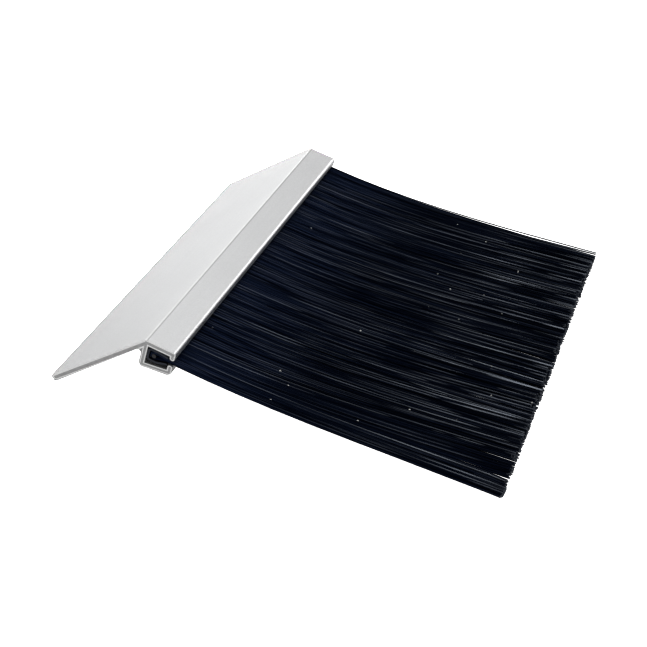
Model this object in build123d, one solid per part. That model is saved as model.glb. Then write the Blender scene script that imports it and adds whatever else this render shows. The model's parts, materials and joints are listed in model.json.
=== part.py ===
from build123d import *

import os
from math import cos, radians, sin

# A door sweep: an extruded aluminium holder with a flange and a channel, and a strip brush that slides in the channel.
# Frame: +X towards the bristle tips, +Y along the sweep, +Z up. The origin is on the surface that the sweep lies on,
# at the middle of its footprint. It lies on the free edge of its flange and on its bristle tips.

# --- Driving dimensions, in millimetres and degrees ---
SWEEP_LENGTH = 101.6

FLANGE_LENGTH = 30.2
FLANGE_THICKNESS = 1.6
FLANGE_EDGE_RADIUS = 0.45
FLANGE_SLOPE = 33.4
CHANNEL_SLOPE = 14.6

CHANNEL_DEPTH = 7.5
TOP_WALL = 1.5
SIDE_WALL = 1.2
BACK_FACE = -0.3
BACK_HEIGHT = 7.6
FRONT_HEIGHT = 6.6
SLOT_HEIGHT = 1.5
SLOT_DROP = 3.15

BACKING_SHEET = 0.5
BACKING_BACK = 1.3
BACKING_BEND = 3.6
BACKING_MOUTH = 5.8
BACKING_HEIGHT = 2.9
CORE_WIRE_RADIUS = 0.5
BRISTLE_LOOP_RADIUS = 1.08
BRISTLE_LOOP_CENTRE = 2.72
BRISTLE_LOOP_DROP = 0.25
ASSEMBLY_GAP = 0.05

BUNDLE_COUNT = 16
BUNDLE_GAP = 0.2
BRISTLE_LENGTH = 76.2
BRISTLE_PACK = 1.3
HINGE_STANDOFF = 1.4
ROOT_TO_HINGE_GAP = 0.08
TIP_SPREAD = 4.2
TIP_SLOPE = 4.6
UPPER_TIP_SLOPE = 3.0
LOWER_TIP_SLOPE = 8.6

# --- Where the resting edges lie, measured from the fold between flange and channel ---
flange_tilt = radians(FLANGE_SLOPE)
channel_tilt = radians(CHANNEL_SLOPE)
bend = radians(FLANGE_SLOPE + CHANNEL_SLOPE)
tip_tilt = radians(TIP_SLOPE)

edge_reach = FLANGE_LENGTH - FLANGE_EDGE_RADIUS
lower_corner_depth = FLANGE_THICKNESS - FLANGE_EDGE_RADIUS
fold_height = edge_reach * sin(flange_tilt) + lower_corner_depth * cos(flange_tilt) + FLANGE_EDGE_RADIUS
flange_reach = edge_reach * cos(flange_tilt) - FLANGE_EDGE_RADIUS * sin(flange_tilt) + FLANGE_EDGE_RADIUS

hinge_along = CHANNEL_DEPTH + HINGE_STANDOFF
hinge_x = hinge_along * cos(channel_tilt) - SLOT_DROP * sin(channel_tilt)
hinge_drop = hinge_along * sin(channel_tilt) + SLOT_DROP * cos(channel_tilt)
tip_height = TIP_SPREAD / 2 * cos(tip_tilt)
tip_fall = fold_height - hinge_drop - tip_height
free_length = BRISTLE_LENGTH - HINGE_STANDOFF
tip_run = (free_length**2 - tip_fall**2) ** 0.5
tip_reach = hinge_x + tip_run + TIP_SPREAD / 2 * sin(tip_tilt)

# The fold's place in the frame, so that the footprint is centred on the origin.
fold_x = (flange_reach - tip_reach) / 2
hinge_axis = (fold_x + hinge_x, fold_height - hinge_drop)
tip_middle = (hinge_axis[0] + tip_run, tip_height)


# --- Helpers ---
def channel_plane(start_y):
    """A plane across the sweep with its origin on the fold: x along the channel, y out of the channel's top."""
    return Plane(
        origin=(fold_x, start_y, fold_height),
        x_dir=(cos(channel_tilt), 0, -sin(channel_tilt)),
        z_dir=(0, -1, 0),
    )


def upright_plane(start_y):
    """A plane across the sweep with its origin on the resting surface: x is +X and y is +Z."""
    return Plane(origin=(0, start_y, 0), x_dir=(1, 0, 0), z_dir=(0, -1, 0))


def rounded_face(corners):
    """A closed face through (x, y, corner radius) entries."""
    points = [(x, y) for x, y, radius in corners]
    radii = [radius for x, y, radius in corners]
    return make_face(FilletPolyline(*points, radius=radii, close=True))


def prism(face, plane, length):
    """The face drawn on a plane across the sweep, drawn out along +Y."""
    return extrude(plane * face, amount=length, dir=(0, 1, 0))


def along_flange(distance, depth):
    """A point in the channel plane, by its distance from the fold along the flange and its depth below the top."""
    return (
        -distance * cos(bend) + depth * sin(bend),
        -distance * sin(bend) - depth * cos(bend),
    )


# --- Holder: flange and channel in one extrusion ---
def holder_section():
    slot_top = -SLOT_DROP + SLOT_HEIGHT / 2
    slot_bottom = -SLOT_DROP - SLOT_HEIGHT / 2
    lip_inside = CHANNEL_DEPTH - SIDE_WALL
    back_inside = BACK_FACE + SIDE_WALL
    floor_rise = BACK_HEIGHT - FRONT_HEIGHT
    lip_radius = SIDE_WALL * 0.45
    inner_radius = 0.3
    fold_radius = 0.3
    heel_radius = 0.9
    toe_radius = 1.4
    crook_radius = 0.8

    # Where the flange's underside meets the channel's back.
    crook_drop = (FLANGE_THICKNESS + BACK_FACE * sin(bend)) / cos(bend)
    under_edge = along_flange(FLANGE_LENGTH, FLANGE_THICKNESS)
    top_edge = along_flange(FLANGE_LENGTH, 0)
    return rounded_face(
        [
            (0, 0, fold_radius),
            (CHANNEL_DEPTH, 0, SIDE_WALL * 0.7),
            (CHANNEL_DEPTH, slot_top, lip_radius),
            (lip_inside, slot_top, lip_radius),
            (lip_inside, -TOP_WALL, inner_radius),
            (back_inside, -TOP_WALL, inner_radius),
            (back_inside, SIDE_WALL - BACK_HEIGHT, inner_radius),
            (lip_inside, SIDE_WALL - BACK_HEIGHT + floor_rise, inner_radius),
            (lip_inside, slot_bottom, lip_radius),
            (CHANNEL_DEPTH, slot_bottom, lip_radius),
            (CHANNEL_DEPTH, -FRONT_HEIGHT, toe_radius),
            (BACK_FACE, -BACK_HEIGHT, heel_radius),
            (BACK_FACE, -crook_drop, crook_radius),
            (*under_edge, FLANGE_EDGE_RADIUS),
            (*top_edge, FLANGE_EDGE_RADIUS),
        ]
    )


# --- Strip brush: sheet backing, core wire and bristles folded round the wire ---
def backing_section():
    half_sheet = BACKING_SHEET / 2
    mouth_half = BRISTLE_PACK / 2 + ASSEMBLY_GAP + half_sheet
    upper = -SLOT_DROP - BRISTLE_LOOP_DROP + BACKING_HEIGHT / 2
    lower = upper - BACKING_HEIGHT
    back = BACKING_BACK
    clinch_radius = 1.5
    corner_radius = 0.6
    sheet_line = FilletPolyline(
        (BACKING_MOUTH, -SLOT_DROP + mouth_half),
        (BACKING_BEND, upper),
        (back, upper),
        (back, lower),
        (BACKING_BEND, lower),
        (BACKING_MOUTH, -SLOT_DROP - mouth_half),
        radius=[clinch_radius, corner_radius, corner_radius, clinch_radius],
    )
    return make_face(sheet_line.offset_2d(half_sheet, side=Side.BOTH))


def loop_centre():
    return (BRISTLE_LOOP_CENTRE, -SLOT_DROP - BRISTLE_LOOP_DROP)


def core_wire_section():
    return Pos(*loop_centre()) * Circle(CORE_WIRE_RADIUS)


def bristle_root_section():
    """Bristles folded round the core wire, then packed flat out through the slot to just short of the hinge."""
    root_end = hinge_along - BRISTLE_PACK / 2 - ROOT_TO_HINGE_GAP
    neck_length = root_end - BRISTLE_LOOP_CENTRE
    neck_middle = (root_end + BRISTLE_LOOP_CENTRE) / 2
    loop = Pos(*loop_centre()) * Circle(BRISTLE_LOOP_RADIUS)
    neck = Pos(neck_middle, -SLOT_DROP) * Rectangle(neck_length, BRISTLE_PACK)
    wire_space = Pos(*loop_centre()) * Circle(CORE_WIRE_RADIUS + ASSEMBLY_GAP)
    return loop + neck - wire_space


def bristle_bundle_section():
    """Free bristles from the hinge to the tips: round at the hinge, thin at mid-length and spread at the tips."""
    half_pack = BRISTLE_PACK / 2
    hinge = Vector(*hinge_axis)
    outward = Vector(cos(channel_tilt), -sin(channel_tilt))
    upward = Vector(sin(channel_tilt), cos(channel_tilt))
    tip_up = Vector(sin(tip_tilt), cos(tip_tilt))
    upper_end = radians(UPPER_TIP_SLOPE)
    lower_end = radians(LOWER_TIP_SLOPE)
    upper_tip = Vector(*tip_middle) + tip_up * TIP_SPREAD / 2
    lower_tip = Vector(*tip_middle) - tip_up * TIP_SPREAD / 2
    upper_root = hinge + upward * half_pack
    lower_root = hinge - upward * half_pack

    upper = Spline(upper_root, upper_tip, tangents=[outward, (cos(upper_end), -sin(upper_end))])
    tip = Line(upper_tip, lower_tip)
    lower = Spline(lower_root, lower_tip, tangents=[outward, (cos(lower_end), -sin(lower_end))])
    root = ThreePointArc(lower_root, hinge - outward * half_pack, upper_root)
    return make_face([upper, tip, lower, root])


# --- Build and write every node ---
def build_nodes():
    near_end = -SWEEP_LENGTH / 2
    pitch = SWEEP_LENGTH / BUNDLE_COUNT
    nodes = {
        "holder_extrusion": prism(holder_section(), channel_plane(near_end), SWEEP_LENGTH),
        "backing_channel": prism(backing_section(), channel_plane(near_end), SWEEP_LENGTH),
        "core_wire": prism(core_wire_section(), channel_plane(near_end), SWEEP_LENGTH),
    }
    root_section = bristle_root_section()
    bundle_section = bristle_bundle_section()
    for index in range(BUNDLE_COUNT):
        start_y = near_end + index * pitch + BUNDLE_GAP / 2
        width = pitch - BUNDLE_GAP
        number = f"{index + 1:02d}"
        nodes["bristle_root_" + number] = prism(root_section, channel_plane(start_y), width)
        nodes["bristle_bundle_" + number] = prism(bundle_section, upright_plane(start_y), width)
    return nodes


def main():
    os.makedirs("parts", exist_ok=True)
    for name, shape in build_nodes().items():
        export_step(shape, f"parts/{name}.step")


main()
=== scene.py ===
import json
import math
import random
from collections import namedtuple

import bmesh
import bpy
from bpy.props import (
    FloatProperty,
    FloatVectorProperty,
    IntProperty,
    PointerProperty,
)
from mathutils import Matrix, Vector
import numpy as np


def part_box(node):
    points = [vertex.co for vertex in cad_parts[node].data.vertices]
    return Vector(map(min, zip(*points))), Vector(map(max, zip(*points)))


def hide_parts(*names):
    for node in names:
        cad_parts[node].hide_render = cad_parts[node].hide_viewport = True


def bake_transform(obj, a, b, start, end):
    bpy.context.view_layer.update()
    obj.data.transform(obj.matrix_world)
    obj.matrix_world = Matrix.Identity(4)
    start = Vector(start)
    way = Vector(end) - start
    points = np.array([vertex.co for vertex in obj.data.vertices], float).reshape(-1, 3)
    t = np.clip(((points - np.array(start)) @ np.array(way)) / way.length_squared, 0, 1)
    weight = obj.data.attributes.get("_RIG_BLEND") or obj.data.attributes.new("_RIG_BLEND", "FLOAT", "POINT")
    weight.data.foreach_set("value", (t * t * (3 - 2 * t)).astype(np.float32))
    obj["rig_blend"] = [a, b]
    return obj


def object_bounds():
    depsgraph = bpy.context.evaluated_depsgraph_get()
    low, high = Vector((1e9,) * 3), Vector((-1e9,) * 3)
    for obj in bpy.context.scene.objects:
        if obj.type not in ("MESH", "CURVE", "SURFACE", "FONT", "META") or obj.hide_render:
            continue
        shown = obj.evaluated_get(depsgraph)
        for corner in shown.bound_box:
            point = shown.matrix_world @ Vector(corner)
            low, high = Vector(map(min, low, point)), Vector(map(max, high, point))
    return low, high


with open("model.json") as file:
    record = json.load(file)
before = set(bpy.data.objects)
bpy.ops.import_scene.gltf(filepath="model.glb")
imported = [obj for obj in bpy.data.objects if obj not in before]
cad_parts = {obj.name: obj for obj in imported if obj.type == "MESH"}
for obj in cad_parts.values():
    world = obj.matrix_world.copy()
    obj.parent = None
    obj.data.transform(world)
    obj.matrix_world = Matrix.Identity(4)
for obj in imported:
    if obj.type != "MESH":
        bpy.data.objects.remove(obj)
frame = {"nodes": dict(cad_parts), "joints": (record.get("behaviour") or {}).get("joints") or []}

bl_info = {
    "name": "Brush Door Sweep",
    "version": (1, 0, 0),
    "blender": (4, 5, 0),
    "location": "3D View > Sidebar > Door Sweep",
    "description": "Finishes an aluminium holder and fills its channel with folded nylon bristles",
    "category": "Object",
}

MM = 0.001
CAD_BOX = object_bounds()
WHITE = (1.0, 1.0, 1.0, 1.0)
LINT = (0.85, 0.85, 0.82, 1.0)


# --- Directions across the sweep ---
def slope(degrees):
    """The direction towards the tips and this many degrees down."""
    angle = math.radians(degrees)
    return Vector((math.cos(angle), 0, -math.sin(angle)))


def rise(degrees):
    """The direction square to that slope, out of its upper side."""
    angle = math.radians(degrees)
    return Vector((math.sin(angle), 0, math.cos(angle)))


CHANNEL_SLOPE = 14.6
FLANGE_SLOPE = -33.4
OUTWARD, UPWARD = slope(CHANNEL_SLOPE), rise(CHANNEL_SLOPE)
FLANGE_RUN, FLANGE_DOWN = -slope(FLANGE_SLOPE), -rise(FLANGE_SLOPE)

# --- The holder's cross-section ---
# The fold between flange and channel is found from the hinge line of the bristles, in millimetres.
HINGE = Vector(next(joint["pos_m"] for joint in frame["joints"] if joint["name"] == "bundle_bend_01"))
HINGE_FROM_FOLD = 8.9
HINGE_BELOW_FOLD = 3.15
FOLD = Vector((HINGE.x, 0, HINGE.z)) - OUTWARD * HINGE_FROM_FOLD * MM + UPWARD * HINGE_BELOW_FOLD * MM

# The middle lines of the walls: two ends, in millimetres along the channel and up from the fold, and half of how thick
# the wall is.
WALL_LINES = (
    ((0.06, -1.13), (-19.08, -22.38), 0.8),
    ((0.3, -0.75), (6.9, -0.75), 0.75),
    ((6.9, -0.75), (6.9, -1.8), 0.6),
    ((0.3, -0.75), (0.3, -7.0), 0.6),
    ((0.3, -7.0), (6.9, -6.0), 0.6),
    ((6.9, -6.0), (6.9, -4.5), 0.6),
)
# Bands by distance from the fold along the channel, middle and half width: a painted highlight on the top of the fold,
# and a painted shade line beside it.
CREST_HIGHLIGHT = (0.02 * MM, 0.24 * MM)
SHADE_BESIDE_FOLD = (0.42 * MM, 0.16 * MM)
# Where a part of the finish starts and is whole: along the flange for its painted shade at the edge, up to the top
# face, and down from the outer skin for the painted shadow on the sawn ends.
FLANGE_EDGE_SHADE = (29.45 * MM, 29.65 * MM)
TOP_FACE = (-0.3 * MM, -0.15 * MM)
UNDERSIDE_SHADOW = (1.1 * MM, 1.3 * MM)

# --- The run of the bristles, from the core wire to the tips ---
MOUTH_BEHIND_HINGE = 3.1 * MM
SLOT_BEHIND_HINGE = 1.4 * MM
CURVE_ENDS_BEYOND_HINGE = 60 * MM
# Half of how high the bristles are packed in the slot, and of how high they spread at the tips.
PACK_HALF = 0.65 * MM
TIP_HALF = 2.1 * MM
TIP_UP = rise(4.6)
UPPER_TIP_RUN = slope(3.0)
LOWER_TIP_RUN = slope(8.6)

# Where the rings of one bristle stand between the hinge (0) and its tip (1), and how they turn round the wire.
FREE_RINGS = (0.0, 0.09, 0.19, 0.30, 0.42, 0.56, 0.72, 0.95, 1.0)
LOOP_TURNS = (90, 150, 210, 270)
BRISTLE_SIDES = 3
BRISTLE_VALUES = ("bristle_tone", "bristle_reach", "bristle_light")

# --- How the bristles lie. Levels run from -1, the lowest tips, to 1, the highest. ---
LOCK_LIFT = 0.30
LOCK_TRIM = 0.5
LOCK_WIDTHS = (0.55, 1.5)
DEPTH_KEPT = 0.55
LEVEL_SPREAD = 0.5
# Upper bristles gather into their lock more than lower ones.
LEAST_PULL = 0.25
MIDDLE_PULL = 0.6
PULL_BY_LEVEL = 0.5
MEAN_TRIM = 0.5
TRIM_BY_LOCK = 0.75
TRIM_SPREAD = 0.35
# The bristles that lie clear on top, and get more painted highlight than the others.
RIDGE_STEPS = (0.6, 1.4)
RIDGE_LIFT = 0.25
RIDGE_LIGHTS = (0.5, 0.8, 1.0, 1.9)
OTHER_LIGHT = 0.04
PACK_DEPTHS = (0.08, 0.82)
# Slow sideways drifts of whole regions: how far, over what length along the sweep, and from which angle.
DRIFTS = ((0.32 * MM, 3.9 * MM, 0.0), (0.28 * MM, 1.55 * MM, 1.3))
# The loose bristles at the two cut ends: how far along the sweep each effect fades out.
CALM_LENGTH = 2.0 * MM
STRAIGHT_LENGTH = 0.8 * MM
FAN_LENGTH = 7.0 * MM
PARTING_LENGTH = 2.6 * MM
DROOP_LENGTH = 5.5 * MM
# The clump that has come loose at the near end: low, flatter at its outer edge, rounded at its tips, and beside a
# parting kept dark as painted shade.
CLUMP_SHIFT = -0.5 * MM
CLUMP_BOTTOM = -0.99
CLUMP_HEIGHT = 0.30
CLUMP_HEIGHT_GAIN = 0.30
CLUMP_MEAN_TRIM = 0.1
CLUMP_ROUNDING = 0.9
CLUMP_TRIM_SPREAD = 0.25
CLUMP_OUTER_SHARE = 0.4
# Painted highlight on the clump's outer bristles and on the rest of it.
CLUMP_OUTER_LIGHT = 0.4
CLUMP_LIGHT = 1.4
PARTING_SHIFT = 0.45 * MM
PARTING_SHADE = 0.9
# The bristles at the far end lie flatter and lower, are cut more evenly and get less painted highlight.
DROOP_FLAT = 0.6
DROOP_LOW = 0.12
DROOP_EVEN = 0.8
DROOP_DARK = 0.7
# How far a bristle bows sideways between its ends.
BOW = 0.10
# How late along its length a bristle turns towards its lock, and towards the parting.
SIDE_POWER = 1.5
PART_POWER = 24
# In bristle radii: how high a tip's middle stays, how far the ends of the brush stay clear, and the two layers of
# bristles round the wire.
ABOVE_FLOOR = 1.1
INSIDE_ENDS = 1.2
WIRE_LAYER = 1.4
WIRE_LAYER_STEP = 1.45


# --- Settings that a user would change ---
class SweepBristleSettings(bpy.types.PropertyGroup):
    """How the nylon bristles are cut, packed and fanned"""

    diameter: FloatProperty(
        name="Bristle Diameter",
        description="Thickness of one nylon bristle",
        default=0.30 * MM,
        unit="LENGTH",
        precision=5,
    )
    folded_per_bundle: IntProperty(
        name="Folded Bristles",
        description="Bristles folded round the core wire in one bundle, each with two free ends",
        default=56,
        min=4,
    )
    lock_spacing: FloatProperty(
        name="Lock Spacing",
        description="Mean distance between the small locks that the tips gather into",
        default=1.35 * MM,
        unit="LENGTH",
        precision=5,
    )
    lock_pull: FloatProperty(
        name="Lock Pull",
        description="Share of the way that a tip moves to the middle of its lock",
        default=0.42,
        subtype="FACTOR",
        min=0.0,
        max=1.0,
    )
    stray: FloatProperty(
        name="Stray",
        description="How far a single bristle wanders sideways at its tip",
        default=0.22 * MM,
        unit="LENGTH",
        precision=5,
    )
    trim: FloatProperty(
        name="Trim Unevenness",
        description="How unevenly the tips are cut",
        default=0.70 * MM,
        unit="LENGTH",
        precision=5,
    )
    end_clump: FloatProperty(
        name="End Clump Width",
        description="Width of the clump that has come loose at the near cut end",
        default=4.3 * MM,
        unit="LENGTH",
        precision=5,
    )
    ridge_step: FloatProperty(
        name="Ridge Step",
        description="Mean count of bristles from one that lies clear on top and catches the light to the next",
        default=7.0,
        min=1.0,
    )
    near_fan: FloatProperty(
        name="Near Fan",
        description="How far the tips at the near cut end spread out past it",
        default=1.9 * MM,
        unit="LENGTH",
        precision=5,
    )
    overhang: FloatProperty(
        name="Overhang",
        description="How far the longest tips reach past the nominal length",
        default=0.7 * MM,
        unit="LENGTH",
        precision=5,
    )
    seed: IntProperty(
        name="Seed",
        description="Start of the random draws, so that each run gives the same brush",
        default=7,
    )


class SweepFinishSettings(bpy.types.PropertyGroup):
    """Colours of the three metals and the nylon, and the roughness of the holder"""

    anodised: FloatVectorProperty(
        name="Anodised Aluminium",
        description="Colour of the clear anodised holder",
        default=(0.87, 0.873, 0.88),
        subtype="COLOR",
        size=3,
        min=0.0,
        max=1.0,
    )
    sawn_end: FloatVectorProperty(
        name="Sawn End",
        description="Colour of the bare sawn ends of the holder",
        default=(0.50, 0.50, 0.505),
        subtype="COLOR",
        size=3,
        min=0.0,
        max=1.0,
    )
    anodised_roughness: FloatProperty(
        name="Anodised Roughness",
        description="Roughness of the etched and anodised face",
        default=0.44,
        subtype="FACTOR",
        min=0.0,
        max=1.0,
    )
    # Far darker than bright zinc: this colour is painted shade for the backing deep in the channel.
    galvanised: FloatVectorProperty(
        name="Galvanised Backing",
        description="Colour of the zinc on the strip brush's backing",
        default=(0.050, 0.054, 0.066),
        subtype="COLOR",
        size=3,
        min=0.0,
        max=1.0,
    )
    # Far darker than drawn steel: this colour is painted shade for the wire deep in the channel.
    wire: FloatVectorProperty(
        name="Core Wire",
        description="Colour of the drawn steel core wire",
        default=(0.060, 0.060, 0.064),
        subtype="COLOR",
        size=3,
        min=0.0,
        max=1.0,
    )
    nylon: FloatVectorProperty(
        name="Nylon",
        description="Colour of the darkest bristles",
        default=(0.0006, 0.0014, 0.0050),
        subtype="COLOR",
        size=3,
        min=0.0,
        max=1.0,
    )
    # Painted sheen: a navy colour for the light that the bristles near the slot catch.
    nylon_sheen: FloatVectorProperty(
        name="Nylon Sheen",
        description="Navy colour of the bristles that catch the light",
        default=(0.0125, 0.0210, 0.0530),
        subtype="COLOR",
        size=3,
        min=0.0,
        max=1.0,
    )
    # Painted highlight: the pale colour of the highlight streaks on the bristles, and, darker, of their cut ends.
    nylon_cut_and_highlight: FloatVectorProperty(
        name="Pale Highlight Nylon",
        description="Colour of the palest bristles",
        default=(0.37, 0.41, 0.48),
        subtype="COLOR",
        size=3,
        min=0.0,
        max=1.0,
    )


class SweepStudioSettings(bpy.types.PropertyGroup):
    """The white studio round the sweep"""

    key_power: FloatProperty(
        name="Key Light",
        description="Power of the narrow strip light over the brush",
        default=0.5,
        unit="POWER",
    )
    rim_power: FloatProperty(
        name="Rim Light",
        description="Power of the soft light past the far end, which lights the lip",
        default=0.60,
        unit="POWER",
    )
    back_power: FloatProperty(
        name="Back Light",
        description="Power of the low light behind the flange",
        default=0.40,
        unit="POWER",
    )
    fold_power: FloatProperty(
        name="Fold Light",
        description="Power of the small light that draws the fold of the holder",
        default=0.25,
        unit="POWER",
    )
    front_power: FloatProperty(
        name="Front Light",
        description="Power of the large soft light in front of the near cut end",
        default=0.6,
        unit="POWER",
    )
    surround: FloatProperty(
        name="Surround",
        description="Brightness of the white surround overhead",
        default=0.88,
        min=0.0,
    )
    surround_low: FloatProperty(
        name="Surround Low Down",
        description="Brightness of the white surround at the horizon",
        default=0.42,
        min=0.0,
    )
    lens: FloatProperty(
        name="Lens",
        description="Focal length of the camera on a 36 mm sensor",
        default=72.33,
        unit="CAMERA",
    )


# --- Helpers for materials ---
def rgba(colour, factor=1.0):
    return (*[channel * factor for channel in colour], 1.0)


class Pattern:
    """The nodes of a material or of the world, added one step at a time."""

    def __init__(self, tree):
        self.nodes = tree.nodes
        self.links = tree.links

    def feed(self, socket, value):
        """Links a socket to another node's output, or sets it to a constant."""
        if isinstance(value, bpy.types.NodeSocket):
            self.links.new(value, socket)
        else:
            socket.default_value = value

    def add(self, kind, inputs, **settings):
        """A new node, with its inputs by name or by number."""
        node = self.nodes.new(kind)
        for name, value in settings.items():
            setattr(node, name, value)
        for key, value in inputs.items():
            self.feed(node.inputs[key], value)
        return node

    def place(self, scale=(1, 1, 1)):
        """Object coordinates through a Mapping node, so that a pattern can be drawn out along one axis."""
        coordinates = self.add("ShaderNodeTexCoord", {}).outputs["Object"]
        return self.add("ShaderNodeMapping", {"Vector": coordinates, "Scale": scale}).outputs["Vector"]

    def attribute(self, name):
        return self.add("ShaderNodeAttribute", {}, attribute_name=name).outputs["Fac"]

    def noise(self, vector, scale, detail=2.0, roughness=0.5):
        inputs = {"Vector": vector, "Scale": scale, "Detail": detail, "Roughness": roughness}
        return self.add("ShaderNodeTexNoise", inputs).outputs["Fac"]

    def cells(self, scale):
        """Distance to the middle of the nearest of many scattered cells."""
        inputs = {"Vector": self.place(), "Scale": scale}
        return self.add("ShaderNodeTexVoronoi", inputs).outputs["Distance"]

    def ramp(self, value, low, high, start=0.0, end=1.0):
        """Turns a value between start and end into a value between low and high."""
        inputs = {"Value": value, "From Min": start, "From Max": end, "To Min": low, "To Max": high}
        return self.add("ShaderNodeMapRange", inputs).outputs["Result"]

    def combine(self, operation, first, second=0.0):
        """A Math node on two values, either of which may be a number."""
        return self.add("ShaderNodeMath", {0: first, 1: second}, operation=operation).outputs["Value"]

    def times(self, first, second):
        return self.combine("MULTIPLY", first, second)

    def plus(self, first, second):
        return self.combine("ADD", first, second)

    def band(self, value, middle, half):
        """1 where a value is at the middle of a band, and 0 outside it."""
        off = self.combine("ABSOLUTE", self.combine("SUBTRACT", value, middle))
        return self.ramp(off, 1.0, 0.0, 0.5 * half, half)

    def blend(self, share, first, second):
        """A colour between two, either of which may be a colour or the output of another node."""
        node = self.add("ShaderNodeMix", {}, data_type="RGBA")
        for socket, value in ((node.inputs["Factor"], share), (node.inputs[6], first), (node.inputs[7], second)):
            self.feed(socket, value)
        return node.outputs[2]

    def vector_step(self, operation, inputs):
        """A Vector Math node that gives a vector."""
        return self.add("ShaderNodeVectorMath", inputs, operation=operation).outputs["Vector"]

    def along(self, vector, direction):
        """How far a vector reaches in a direction."""
        return self.add("ShaderNodeVectorMath", {0: vector, 1: direction}, operation="DOT_PRODUCT").outputs["Value"]

    def distance_to_line(self, place, start, end):
        """Distance from a place in the cross-section to a straight line between two points of it."""
        run = end - start
        offset = self.vector_step("SUBTRACT", {0: place, 1: start})
        share = self.along(offset, run / run.length_squared)
        nearest = self.vector_step("SCALE", {0: run, "Scale": self.ramp(share, 0.0, 1.0)})
        gap = self.vector_step("SUBTRACT", {0: offset, 1: nearest})
        return self.add("ShaderNodeVectorMath", {0: gap}, operation="LENGTH").outputs["Value"]

    def wall_depth(self, place):
        """0 on the middle line of the holder's walls, and 1 on their faces."""
        depth = 1.0
        for start, end, half in WALL_LINES:
            ends = [FOLD + OUTWARD * along * MM + UPWARD * up * MM for along, up in (start, end)]
            wall = self.combine("DIVIDE", self.distance_to_line(place, *ends), half * MM)
            depth = self.combine("MINIMUM", wall, depth)
        return depth

    def end_faces(self):
        """1 on faces that look along the sweep, which are its sawn ends, and 0 elsewhere."""
        normal = self.add("ShaderNodeTexCoord", {}).outputs["Normal"]
        split = self.add("ShaderNodeSeparateXYZ", {"Vector": normal})
        return self.ramp(self.combine("ABSOLUTE", split.outputs["Y"]), 0.0, 1.0, start=0.85, end=0.95)


class Finish(Pattern):
    """A new material, with its Principled shader."""

    def __init__(self, name):
        self.material = bpy.data.materials.new(name)
        self.material.use_nodes = True
        super().__init__(self.material.node_tree)
        self.shader = self.nodes["Principled BSDF"]

    def give(self, **values):
        """Sets or links the shader's sockets; an underscore in a name stands for a space."""
        for name, value in values.items():
            self.feed(self.shader.inputs[name.replace("_", " ")], value)

    def bump(self, height, strength, distance):
        inputs = {"Height": height, "Strength": strength, "Distance": distance}
        self.give(Normal=self.add("ShaderNodeBump", inputs).outputs["Normal"])


# --- Finishes ---
def anodised_aluminium(colours):
    """Etched and clear anodised extrusion: fine grain, faint die lines along the sweep, sawn ends, and painted
    highlights and painted shade at its fold and edges.
    """
    finish = Finish("Clear anodised aluminium")
    grain = finish.noise(finish.place(), scale=2600, detail=3, roughness=0.6)
    cloud = finish.noise(finish.place(), scale=55)
    die_lines = finish.noise(finish.place((1, 0.012, 1)), scale=1500)
    saw_marks = finish.noise(finish.place((0.25, 1, 1)), scale=2600, detail=3)
    section = finish.place((1, 0, 1))
    from_fold = finish.vector_step("SUBTRACT", {0: section, 1: FOLD})
    along_top = finish.along(from_fold, OUTWARD)
    above_top = finish.along(from_fold, UPWARD)

    # The anodised faces: speckle, die lines, painted shade as a dark line beside the fold and along the flange's edge,
    # and a painted highlight as a white band on the top of the fold.
    speckle = finish.ramp(grain, 0.0, 1.0, start=0.34, end=0.66)
    body_tone = finish.plus(finish.times(speckle, 0.55), finish.times(cloud, 0.45))
    body = finish.blend(body_tone, rgba(colours.anodised, 0.91), rgba(colours.anodised, 1.08))
    lines = finish.ramp(die_lines, 0.0, 0.45, start=0.35, end=0.75)
    body = finish.blend(lines, body, rgba(colours.anodised, 0.96))
    on_top = finish.ramp(above_top, 0.0, 1.0, *TOP_FACE)
    shade_beside_fold = finish.times(finish.band(along_top, *SHADE_BESIDE_FOLD), on_top)
    flange_edge_shade = finish.ramp(finish.along(from_fold, FLANGE_RUN), 0.0, 1.0, *FLANGE_EDGE_SHADE)
    shaded = finish.combine("MAXIMUM", finish.times(shade_beside_fold, 0.5), finish.times(flange_edge_shade, 0.42))
    body = finish.blend(shaded, body, rgba(colours.anodised, 0.35))
    # Painted highlight: a white band on the top of the fold.
    crest_highlight = finish.times(finish.band(along_top, *CREST_HIGHLIGHT), on_top)
    body = finish.blend(crest_highlight, body, WHITE)

    # The sawn ends: bare metal in the middle of the walls, a painted highlight in white along their edges, and a
    # painted shadow along their lower rim.
    depth = finish.wall_depth(section)
    edge_highlight = finish.ramp(depth, 0.0, 1.0, start=0.42, end=0.58)
    sawn = finish.blend(saw_marks, rgba(colours.sawn_end, 0.7), rgba(colours.sawn_end, 1.35))
    # Painted highlight: the edges of the sawn walls in white, and not metallic.
    sawn = finish.blend(edge_highlight, sawn, WHITE)
    skin = finish.combine("MINIMUM", finish.times(above_top, -1.0), finish.along(from_fold, FLANGE_DOWN))
    rim = finish.ramp(depth, 0.0, 0.75, start=0.84, end=0.96)
    # Painted shadow: a dark rim along the lower edge of the sawn ends.
    under_shadow = finish.times(finish.ramp(skin, 0.0, 1.0, *UNDERSIDE_SHADOW), rim)
    sawn = finish.blend(under_shadow, sawn, rgba(colours.sawn_end, 0.2))

    ends = finish.end_faces()
    middle = colours.anodised_roughness
    rough = finish.ramp(grain, middle - 0.06, middle + 0.08, start=0.3, end=0.7)
    finish.give(
        Base_Color=finish.blend(ends, body, sawn),
        Metallic=finish.ramp(finish.times(ends, edge_highlight), 1.0, 0.0),
        Roughness=finish.plus(rough, finish.times(ends, 0.08)),
    )
    finish.bump(finish.plus(grain, finish.times(die_lines, 0.6)), strength=0.45, distance=0.03 * MM)
    return finish.material


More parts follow.
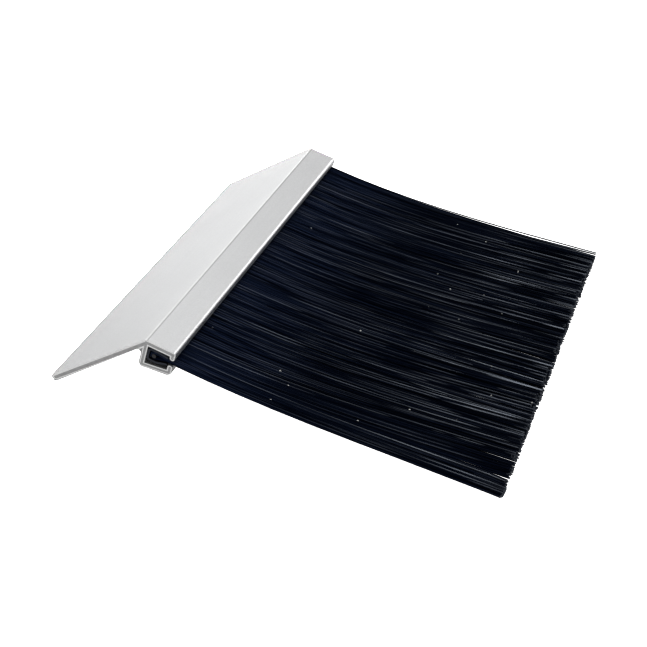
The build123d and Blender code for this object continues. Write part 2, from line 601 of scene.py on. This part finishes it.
def galvanised_steel(colours):
    """Zinc coated sheet with a faint spangle, in a colour darkened as painted shade."""
    finish = Finish("Galvanised steel")
    spangle = finish.cells(scale=900)
    grain = finish.noise(finish.place(), scale=5200, detail=3)
    tone = finish.plus(finish.times(spangle, 0.5), finish.times(grain, 0.5))
    finish.give(
        Base_Color=finish.blend(tone, rgba(colours.galvanised, 0.6), rgba(colours.galvanised, 1.5)),
        Metallic=1.0,
        Roughness=finish.ramp(tone, 0.30, 0.52, start=0.2, end=0.8),
    )
    finish.bump(grain, strength=0.25, distance=0.03 * MM)
    return finish.material


def drawn_steel(colours):
    """Drawn wire with lines along its length, in a colour darkened as painted shade."""
    finish = Finish("Drawn steel wire")
    draw_lines = finish.noise(finish.place((1, 0.02, 1)), scale=4200)
    grain = finish.noise(finish.place(), scale=6000)
    tone = finish.plus(finish.times(draw_lines, 0.7), finish.times(grain, 0.3))
    finish.give(
        Base_Color=finish.blend(tone, rgba(colours.wire, 0.7), rgba(colours.wire, 1.4)),
        Metallic=1.0,
        Roughness=finish.ramp(tone, 0.28, 0.46, start=0.3, end=0.7),
    )
    finish.bump(draw_lines, strength=0.2, distance=0.02 * MM)
    return finish.material


def black_nylon(colours):
    """Black nylon with a navy cast: each bristle has its own tone, a painted sheen and painted highlight streaks, and
    lint sticks to a few of them.
    """
    finish = Finish("Black nylon bristle")
    tone, reach, light = [finish.attribute(name) for name in BRISTLE_VALUES]
    strand = {"X": finish.times(reach, 3.2), "Y": finish.times(tone, 900.0)}
    streak = finish.noise(finish.add("ShaderNodeCombineXYZ", strand).outputs["Vector"], scale=1.0)

    # A painted navy sheen near the slot, and painted highlight streaks in a pale colour that get stronger towards the
    # tips.
    near_slot = finish.ramp(reach, 0.9, 0.26, start=0.05, end=0.35)
    sheen = finish.times(finish.ramp(streak, 0.0, 1.0, start=0.36, end=0.60), near_slot)
    nylon = finish.blend(sheen, rgba(colours.nylon), rgba(colours.nylon_sheen))
    towards_tip = finish.ramp(reach, 0.17, 1.0, start=0.55, end=1.0)
    # Painted highlight: pale streaks, scaled by how much painted highlight each bristle is given.
    highlight_streak = finish.times(finish.ramp(streak, 0.0, 1.0, start=0.44, end=0.66), towards_tip)
    highlight_streak = finish.ramp(finish.times(highlight_streak, light), 0.0, 1.0)
    nylon = finish.blend(highlight_streak, nylon, rgba(colours.nylon_cut_and_highlight))
    cut_end = finish.ramp(reach, 0.0, 1.0, start=0.9965, end=1.0)
    nylon = finish.blend(cut_end, nylon, rgba(colours.nylon_cut_and_highlight, 0.35))
    lint = finish.ramp(finish.cells(scale=190), 1.0, 0.0, start=0.036, end=0.046)

    rough = finish.plus(finish.ramp(tone, 0.16, 0.36), finish.ramp(streak, -0.04, 0.06))
    finish.give(
        Base_Color=finish.blend(lint, nylon, LINT),
        Roughness=rough,
        Specular_IOR_Level=0.015,
        Specular_Tint=(0.45, 0.65, 1.0, 1.0),
    )
    drawn = finish.noise(finish.place((0.15, 1, 1)), scale=5000)
    finish.bump(drawn, strength=0.12, distance=0.02 * MM)
    return finish.material


def pale_floor():
    """Matt white paper."""
    finish = Finish("Pale floor")
    paper = finish.noise(finish.place(), scale=900)
    finish.give(
        Base_Color=finish.blend(paper, (0.80, 0.80, 0.80, 1), (0.86, 0.86, 0.86, 1)),
        Roughness=0.9,
        Specular_IOR_Level=0.2,
        Alpha=0.5,
    )
    return finish.material


def give_finish(node_name, material):
    """Puts a material on a CAD node in place of its plain one."""
    node = frame["nodes"].get(node_name)
    if node is None:
        raise RuntimeError(f"the frame has no node named {node_name}")
    node.data.materials.clear()
    node.data.materials.append(material)


def put(name, data, matrix=None):
    """A new object in the scene."""
    item = bpy.data.objects.new(name, data)
    if matrix is not None:
        item.matrix_world = matrix
    bpy.context.scene.collection.objects.link(item)
    return item


# --- The brush ---
def bundle_numbers():
    """The bundles' numbers, in order along the sweep, as they are in the nodes' names."""
    numbers = sorted(name[-2:] for name in frame["nodes"] if name.startswith("bristle_bundle_"))
    if not numbers:
        raise RuntimeError("the frame has no bristle bundles")
    return numbers


def hinge_point(number):
    """The place where a bundle starts to bend, on its joint's axis."""
    for joint in frame["joints"]:
        if joint["name"] == "bundle_bend_" + number:
            return Vector(joint["pos_m"])
    raise RuntimeError(f"the frame has no joint for bundle {number}")


def curve_point(knots, share):
    """A point on a cubic curve with two end knots and two handles."""
    rest = 1 - share
    weights = (rest**3, 3 * rest**2 * share, 3 * rest * share**2, share**3)
    return sum((knot * weight for knot, weight in zip(knots, weights)), Vector((0, 0, 0)))


def fade(distance, length):
    """1 at no distance, and towards 0 past the length."""
    share = distance / length
    return math.exp(-share * share)


# A tip's place along the sweep, the sideways turn of its last stretch, its level, how much shorter than its full length
# it is trimmed, and how much painted highlight it gets.
Tip = namedtuple("Tip", "side part level short light")


class Lie:
    """How the bristles lie over the whole brush: the locks their tips gather into, and the two loose cut ends."""

    def __init__(self, settings):
        self.settings = settings
        self.low = CAD_BOX[0].y
        self.high = CAD_BOX[1].y
        self.draw = random.Random(settings.seed)
        self.locks = []
        place = self.low
        while place < self.high:
            self.locks.append((place, self.draw.uniform(-LOCK_LIFT, LOCK_LIFT), self.draw.gauss(0, LOCK_TRIM)))
            place += settings.lock_spacing * self.draw.uniform(*LOCK_WIDTHS)
        self.clump_edge = self.low + settings.end_clump
        self.until_ridge = 0.0

    def next_ridge(self):
        """Whether the next bristle is one of the evenly scattered few that lie clear on top."""
        self.until_ridge -= 1
        if self.until_ridge > 0:
            return False
        self.until_ridge = self.settings.ridge_step * self.draw.uniform(*RIDGE_STEPS)
        return True

    def lock(self, place):
        return min(self.locks, key=lambda lock: abs(lock[0] - place))

    def drift(self, place):
        """A slow sideways drift of whole regions at the tips."""
        span = place - self.low
        return sum(width * math.sin(span / length + start) for width, length, start in DRIFTS)

    def tip(self, place, depth, edge_room):
        """The tip of a bristle that starts at this place along the sweep and this depth in the pack."""
        settings = self.settings
        lock_place, lock_lift, lock_trim = self.lock(place)
        level = DEPTH_KEPT * depth + LEVEL_SPREAD * self.draw.uniform(-1, 1) + lock_lift
        pull = settings.lock_pull * max(LEAST_PULL, min(1.0, MIDDLE_PULL + PULL_BY_LEVEL * level))
        inside = min(1.0, (place - self.low) / CALM_LENGTH, (self.high - place) / CALM_LENGTH)
        side = place + inside * (pull * (lock_place - place) + self.drift(place))
        side += self.draw.gauss(0, 1) * min(settings.stray, edge_room)
        side -= settings.near_fan * fade(place - self.low, FAN_LENGTH)
        short = settings.trim * (MEAN_TRIM + TRIM_BY_LOCK * lock_trim + TRIM_SPREAD * self.draw.gauss(0, 1))

        if place < self.clump_edge:
            share = (place - self.low) / settings.end_clump
            part = CLUMP_SHIFT * share
            level = CLUMP_BOTTOM + (CLUMP_HEIGHT + CLUMP_HEIGHT_GAIN * share) * (level + 1)
            rounding = CLUMP_ROUNDING * (2 * share - 1) ** 4
            short = settings.trim * (CLUMP_MEAN_TRIM + rounding + CLUMP_TRIM_SPREAD * abs(self.draw.gauss(0, 1)))
            light = CLUMP_OUTER_LIGHT if share < CLUMP_OUTER_SHARE else CLUMP_LIGHT
        else:
            parting = fade(place - self.clump_edge, PARTING_LENGTH)
            part = PARTING_SHIFT * parting
            # Painted shade: less painted highlight beside the parting.
            light = 1 - PARTING_SHADE * parting

        droop = fade(self.high - place, DROOP_LENGTH)
        level = level * (1 - DROOP_FLAT * droop) - DROOP_LOW * droop
        short *= 1 - DROOP_EVEN * droop
        light *= 1 - DROOP_DARK * droop
        side = min(self.high - settings.diameter / 2, side)
        short = max(-settings.overhang, short - settings.overhang)
        return Tip(side, part, max(-1.0, min(1.0, level)), short, light)


class Course:
    """Where one bundle's bristles run: round the core wire, out along the hinge line and on to the tips."""

    def __init__(self, number):
        low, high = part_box("bristle_bundle_" + number)
        wire_low, wire_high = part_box("core_wire")
        self.wire = (wire_low + wire_high) / 2
        self.wire_radius = (wire_high.z - wire_low.z) / 2
        self.hinge = hinge_point(number)
        self.tip_middle = Vector((high.x, 0, 0)) - TIP_UP * TIP_HALF
        self.tip_middle.z = TIP_HALF * TIP_UP.z
        for point in (self.wire, self.hinge, self.tip_middle):
            point.y = 0
        self.middle = (low.y + high.y) / 2
        self.half = (CAD_BOX[1].y - CAD_BOX[0].y) / len(bundle_numbers()) / 2


def bristle_leg(lie, course, place, start, depth, tip):
    """The middles of the rings of one end of a bristle, from the backing's mouth to the tip."""
    radius = lie.settings.diameter / 2
    root = course.hinge + UPWARD * depth * (PACK_HALF - radius)
    end = course.tip_middle + TIP_UP * tip.level * (TIP_HALF - radius)
    run = LOWER_TIP_RUN.lerp(UPPER_TIP_RUN, (tip.level + 1) / 2).normalized()
    end = end - run * tip.short
    end.z = max(end.z, ABOVE_FLOOR * radius)
    reach = (end - root).length / 3
    knots = (root, root + OUTWARD * reach, end - run * reach, end)
    straight = min(1.0, min(place - lie.low, lie.high - place) / STRAIGHT_LENGTH)
    bow = lie.draw.gauss(0, BOW) * straight * MM

    mouth = root - OUTWARD * MOUTH_BEHIND_HINGE
    mouth.y = (place + start) / 2
    leg = [mouth]
    for share in FREE_RINGS:
        point = curve_point(knots, share)
        sideways = (tip.side - start) * share**SIDE_POWER + tip.part * share**PART_POWER
        point.y = start + sideways + bow * math.sin(math.pi * share)
        leg.append(point)
    return leg


def bristle_rings(lie, course, place, spacing, ring_radius):
    """The middles of the rings of one folded bristle: in from one tip, round the core wire and out to the other tip."""
    edge_room = course.half - abs(place - course.middle)
    legs, lights = [], []
    for way in (1, -1):
        ridge = way > 0 and lie.next_ridge()
        depth = 1.0 if ridge else way * lie.draw.uniform(*PACK_DEPTHS)
        start = place + way * spacing / 4
        tip = lie.tip(start, depth, edge_room)
        if ridge:
            tip = tip._replace(level=min(1.0, tip.level + RIDGE_LIFT))
        lights.append(tip.light * (lie.draw.choice(RIDGE_LIGHTS) if ridge else OTHER_LIGHT))
        legs.append(bristle_leg(lie, course, place, start, depth, tip))

    loop = []
    for turn in LOOP_TURNS:
        angle = math.radians(turn)
        point = course.wire + (OUTWARD * math.cos(angle) + UPWARD * math.sin(angle)) * ring_radius
        point.y = place
        loop.append(point)
    return legs[0][::-1] + loop + legs[1], lights


def only(kind, geometry):
    return [part for part in geometry if isinstance(part, kind)]


def bristle_blank(segments):
    """A straight closed tube along Z, one unit between rings, which every bristle is drawn out from."""
    blank = bmesh.new()
    for name in BRISTLE_VALUES:
        blank.verts.layers.float.new(name)
    ring = bmesh.ops.create_circle(blank, cap_ends=True, segments=BRISTLE_SIDES, radius=1.0)["verts"]
    end = list({face for vert in ring for face in vert.link_faces})
    bmesh.ops.reverse_faces(blank, faces=end)
    edges = list({edge for face in end for edge in face.edges})
    for _ in range(segments):
        grown = bmesh.ops.extrude_edge_only(blank, edges=edges)["geom"]
        bmesh.ops.translate(blank, verts=only(bmesh.types.BMVert, grown), vec=(0, 0, 1))
        edges = [edge for edge in only(bmesh.types.BMEdge, grown) if edge.is_boundary]
    bmesh.ops.contextual_create(blank, geom=edges)
    bmesh.ops.recalc_face_normals(blank, faces=blank.faces)
    for face in blank.faces:
        face.smooth = abs(face.normal.z) < 0.5
    return blank


def draw_out(verts, rings, radius):
    """Moves the blank's rings to the places of a bristle's rings."""
    last = len(rings) - 1
    frames = []
    for index, middle in enumerate(rings):
        along = (rings[min(index + 1, last)] - rings[max(index - 1, 0)]).normalized()
        across = Vector((0, 1, 0)).cross(along).normalized()
        frames.append((middle, across * radius, along.cross(across) * radius))
    for vert in verts:
        middle, across, side = frames[round(vert.co.z)]
        vert.co = middle + across * vert.co.x + side * vert.co.y


def make_bundle(number, lie, material):
    """One bundle of folded bristles as one piece."""
    settings = lie.settings
    radius = settings.diameter / 2
    course = Course(number)
    count = settings.folded_per_bundle
    free = len(FREE_RINGS)
    segments = 2 * (free + 1) + len(LOOP_TURNS) - 1
    reaches = FREE_RINGS[::-1] + (0.0,) * (segments + 1 - 2 * free) + FREE_RINGS

    brush = bristle_blank(segments)
    tone, reach, light = [brush.verts.layers.float[name] for name in BRISTLE_VALUES]
    blank = list(brush.verts) + list(brush.edges) + list(brush.faces)
    for index in range(count):
        copied = bmesh.ops.duplicate(brush, geom=blank)["geom"]
        place = course.middle + ((index + 0.5) / count * 2 - 1) * course.half
        place = max(lie.low + INSIDE_ENDS * radius, min(lie.high - INSIDE_ENDS * radius, place))
        ring_radius = course.wire_radius + radius * (WIRE_LAYER + WIRE_LAYER_STEP * (index % 2))
        rings, lights = bristle_rings(lie, course, place, 2 * course.half / count, ring_radius)
        own_tone = lie.draw.random()
        verts = only(bmesh.types.BMVert, copied)
        for vert in verts:
            ring = round(vert.co.z)
            second = ring > segments / 2
            vert[tone] = (own_tone + 0.5 * second) % 1.0
            vert[light] = lights[second]
            vert[reach] = reaches[ring]
        draw_out(verts, rings, radius)
    bmesh.ops.delete(brush, geom=only(bmesh.types.BMVert, blank), context="VERTS")

    mesh = bpy.data.meshes.new("bristles_" + number)
    brush.to_mesh(mesh)
    brush.free()
    mesh.materials.append(material)
    piece = put("bristles_" + number, mesh)
    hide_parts("bristle_root_" + number, "bristle_bundle_" + number)
    slot_exit = course.hinge - OUTWARD * SLOT_BEHIND_HINGE
    curve_end = course.hinge + OUTWARD * CURVE_ENDS_BEYOND_HINGE
    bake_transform(piece, "brush_insert", "bundle_" + number, start=slot_exit, end=curve_end)


# --- The studio ---
# Each light's place, the point it faces, its width and length, and the setting that holds its power.
SOFT_LIGHTS = {
    "key light": ((0.00, -0.075, 0.50), (0.02, -0.05, 0), 0.03, 0.35, "key_power"),
    "rim light": ((0.30, 0.46, 0.20), (-0.02, 0, 0.01), 0.28, 0.28, "rim_power"),
    "back light": ((-0.45, 0.57, 0.06), (-0.04, 0.03, 0.01), 0.50, 0.20, "back_power"),
    "fold light": ((-0.29, 0.55, 0.25), (-0.03, 0.03, 0.017), 0.10, 0.10, "fold_power"),
    "front light": ((-0.25, -0.60, 0.30), (-0.03, -0.05, 0.01), 0.60, 0.60, "front_power"),
}
CAMERA_PLACE = (0.08552, -0.25803, 0.18054)
CAMERA_AZIMUTH = math.radians(19.385)
CAMERA_ELEVATION = math.radians(33.953)
CAMERA_ROLL = math.radians(1.696)
FLOOR_SIZE = 3.0


def facing(place, back):
    """The matrix of a light or camera at a place, with its back in this direction."""
    return Matrix.Translation(Vector(place)) @ back.to_track_quat("Z", "Y").to_matrix().to_4x4()


def lay_floor():
    mesh = bpy.data.meshes.new("floor")
    sheet = bmesh.new()
    bmesh.ops.create_grid(sheet, x_segments=1, y_segments=1, size=FLOOR_SIZE)
    sheet.to_mesh(mesh)
    sheet.free()
    mesh.materials.append(pale_floor())
    floor = put("floor", mesh)
    floor.is_shadow_catcher = True


def light_world(studio):
    """White behind the object, and a surround that is brighter overhead for everything else."""
    world = bpy.data.worlds.new("White studio")
    bpy.context.scene.world = world
    world.use_nodes = True
    sky = Pattern(world.node_tree)
    backdrop = sky.nodes["Background"]
    backdrop.inputs["Color"].default_value = WHITE
    direction = sky.add("ShaderNodeTexCoord", {}).outputs["Generated"]
    height = sky.add("ShaderNodeSeparateXYZ", {"Vector": direction}).outputs["Z"]
    strength = sky.ramp(height, studio.surround_low, studio.surround, start=0.2, end=0.8)
    around = sky.add("ShaderNodeBackground", {"Strength": strength}).outputs["Background"]
    seen = sky.add("ShaderNodeLightPath", {}).outputs["Is Camera Ray"]
    mix = sky.add("ShaderNodeMixShader", {"Fac": seen, 1: around, 2: backdrop.outputs["Background"]})
    sky.feed(sky.nodes["World Output"].inputs["Surface"], mix.outputs["Shader"])


def hang_lights(studio):
    for name, (place, target, width, length, power) in SOFT_LIGHTS.items():
        data = bpy.data.lights.new(name, "AREA")
        data.shape = "RECTANGLE"
        data.size, data.size_y, data.energy = width, length, getattr(studio, power)
        put(name, data, facing(place, Vector(place) - Vector(target)))


def set_camera(studio):
    level = math.cos(CAMERA_ELEVATION)
    back = Vector((math.sin(CAMERA_AZIMUTH) * level, -math.cos(CAMERA_AZIMUTH) * level, math.sin(CAMERA_ELEVATION)))
    data = bpy.data.cameras.new("camera")
    data.sensor_width = 36
    data.lens = studio.lens
    data.clip_start = 0.01
    roll = Matrix.Rotation(CAMERA_ROLL, 4, "Z")
    bpy.context.scene.camera = put("camera", data, facing(CAMERA_PLACE, back) @ roll)


# --- Operators ---
class SWEEP_OT_studio(bpy.types.Operator):
    """Lay the pale floor and set up the soft lights and the camera"""

    bl_idname = "sweep.studio"
    bl_label = "Set Up Studio"

    def execute(self, context):
        studio = context.scene.sweep_studio
        context.scene.view_settings.view_transform = "Standard"
        lay_floor()
        light_world(studio)
        hang_lights(studio)
        set_camera(studio)
        return {"FINISHED"}


class SWEEP_OT_holder(bpy.types.Operator):
    """Give the aluminium holder its anodised finish"""

    bl_idname = "sweep.holder"
    bl_label = "Finish Holder"

    def execute(self, context):
        give_finish("holder_extrusion", anodised_aluminium(context.scene.sweep_finish))
        return {"FINISHED"}


class SWEEP_OT_backing(bpy.types.Operator):
    """Give the strip brush's backing its galvanised finish"""

    bl_idname = "sweep.backing"
    bl_label = "Finish Backing"

    def execute(self, context):
        give_finish("backing_channel", galvanised_steel(context.scene.sweep_finish))
        return {"FINISHED"}


class SWEEP_OT_core_wire(bpy.types.Operator):
    """Give the core wire its drawn steel finish"""

    bl_idname = "sweep.core_wire"
    bl_label = "Finish Core Wire"

    def execute(self, context):
        give_finish("core_wire", drawn_steel(context.scene.sweep_finish))
        return {"FINISHED"}


class SWEEP_OT_bristles(bpy.types.Operator):
    """Fold the nylon bristles round the core wire and fan them out to their tips"""

    bl_idname = "sweep.bristles"
    bl_label = "Fill With Bristles"

    def execute(self, context):
        material = black_nylon(context.scene.sweep_finish)
        lie = Lie(context.scene.sweep_bristles)
        for number in bundle_numbers():
            make_bundle(number, lie, material)
        return {"FINISHED"}


class SWEEP_PT_sidebar(bpy.types.Panel):
    """Steps and settings of the brush door sweep"""

    bl_idname = "SWEEP_PT_sidebar"
    bl_label = "Brush Door Sweep"
    bl_space_type = "VIEW_3D"
    bl_region_type = "UI"
    bl_category = "Door Sweep"

    def draw(self, context):
        layout = self.layout
        for operator in OPERATORS:
            layout.operator(operator.bl_idname)
        for group in ("sweep_bristles", "sweep_finish", "sweep_studio"):
            box = layout.box()
            settings = getattr(context.scene, group)
            for name in settings.bl_rna.properties.keys():
                if name not in ("rna_type", "name"):
                    box.prop(settings, name)


SETTINGS = (SweepBristleSettings, SweepFinishSettings, SweepStudioSettings)
OPERATORS = (SWEEP_OT_studio, SWEEP_OT_holder, SWEEP_OT_backing, SWEEP_OT_core_wire, SWEEP_OT_bristles)


def register():
    for cls in (*SETTINGS, *OPERATORS, SWEEP_PT_sidebar):
        bpy.utils.register_class(cls)
    bpy.types.Scene.sweep_bristles = PointerProperty(type=SweepBristleSettings)
    bpy.types.Scene.sweep_finish = PointerProperty(type=SweepFinishSettings)
    bpy.types.Scene.sweep_studio = PointerProperty(type=SweepStudioSettings)


def unregister():
    del bpy.types.Scene.sweep_studio
    del bpy.types.Scene.sweep_finish
    del bpy.types.Scene.sweep_bristles
    for cls in reversed((*SETTINGS, *OPERATORS, SWEEP_PT_sidebar)):
        bpy.utils.unregister_class(cls)


def main():
    register()
    bpy.ops.sweep.studio()
    bpy.ops.sweep.holder()
    bpy.ops.sweep.backing()
    bpy.ops.sweep.core_wire()
    bpy.ops.sweep.bristles()


if __name__ == "__main__":
    main()
